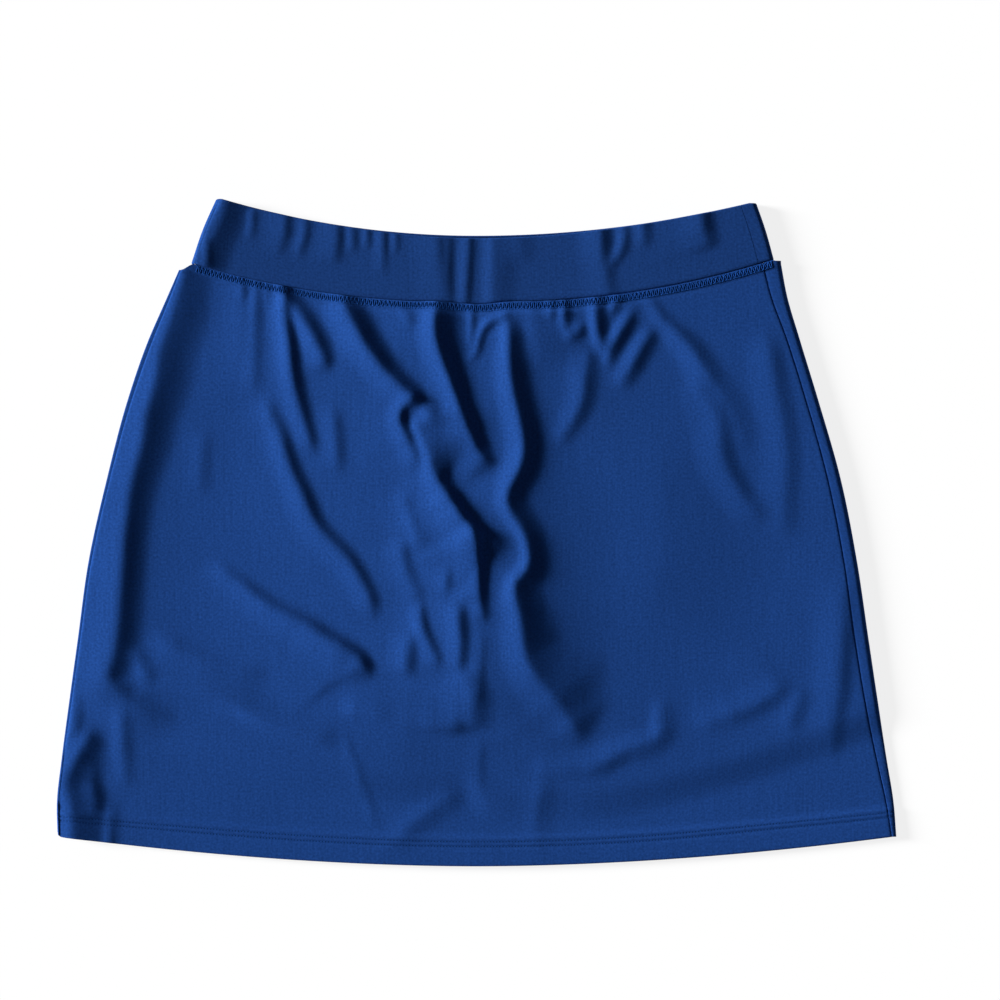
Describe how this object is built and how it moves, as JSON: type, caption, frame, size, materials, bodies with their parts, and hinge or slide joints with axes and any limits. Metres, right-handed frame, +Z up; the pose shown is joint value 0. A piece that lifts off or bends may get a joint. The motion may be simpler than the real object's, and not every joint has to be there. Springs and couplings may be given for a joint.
{
  "type": "golf skort",
  "caption": "Women's golf skort laid flat, face up: A-line knit skirt gathered to a wide elastic waistband, with inner shorts lying inside it.",
  "frame": {"origin": "middle of the garment's outline, on the surface that it lies on", "axes": "+X across the garment, to the right in the picture; +Y from the hem to the waist; +Z up from the surface, through the cloth"},
  "size_m": [0.567, 0.4504, 0.0137],
  "materials": {
    "skirt_cloth": "fine double knit in navy blue, matt with a slight sheen",
    "waistband_cloth": "the same double knit, folded over elastic",
    "shorts_cloth": "plain knit in the same navy blue",
    "sewing_thread": "polyester thread, a little lighter than the cloth"
  },
  "bodies": {
    "root": {"skirt_front": "skirt_cloth", "skirt_back": "skirt_cloth", "waistband_front": "waistband_cloth", "waistband_back": "waistband_cloth", "shorts_front_left": "shorts_cloth", "shorts_front_right": "shorts_cloth", "shorts_back_left": "shorts_cloth", "shorts_back_right": "shorts_cloth"}
  },
  "joints": []
}
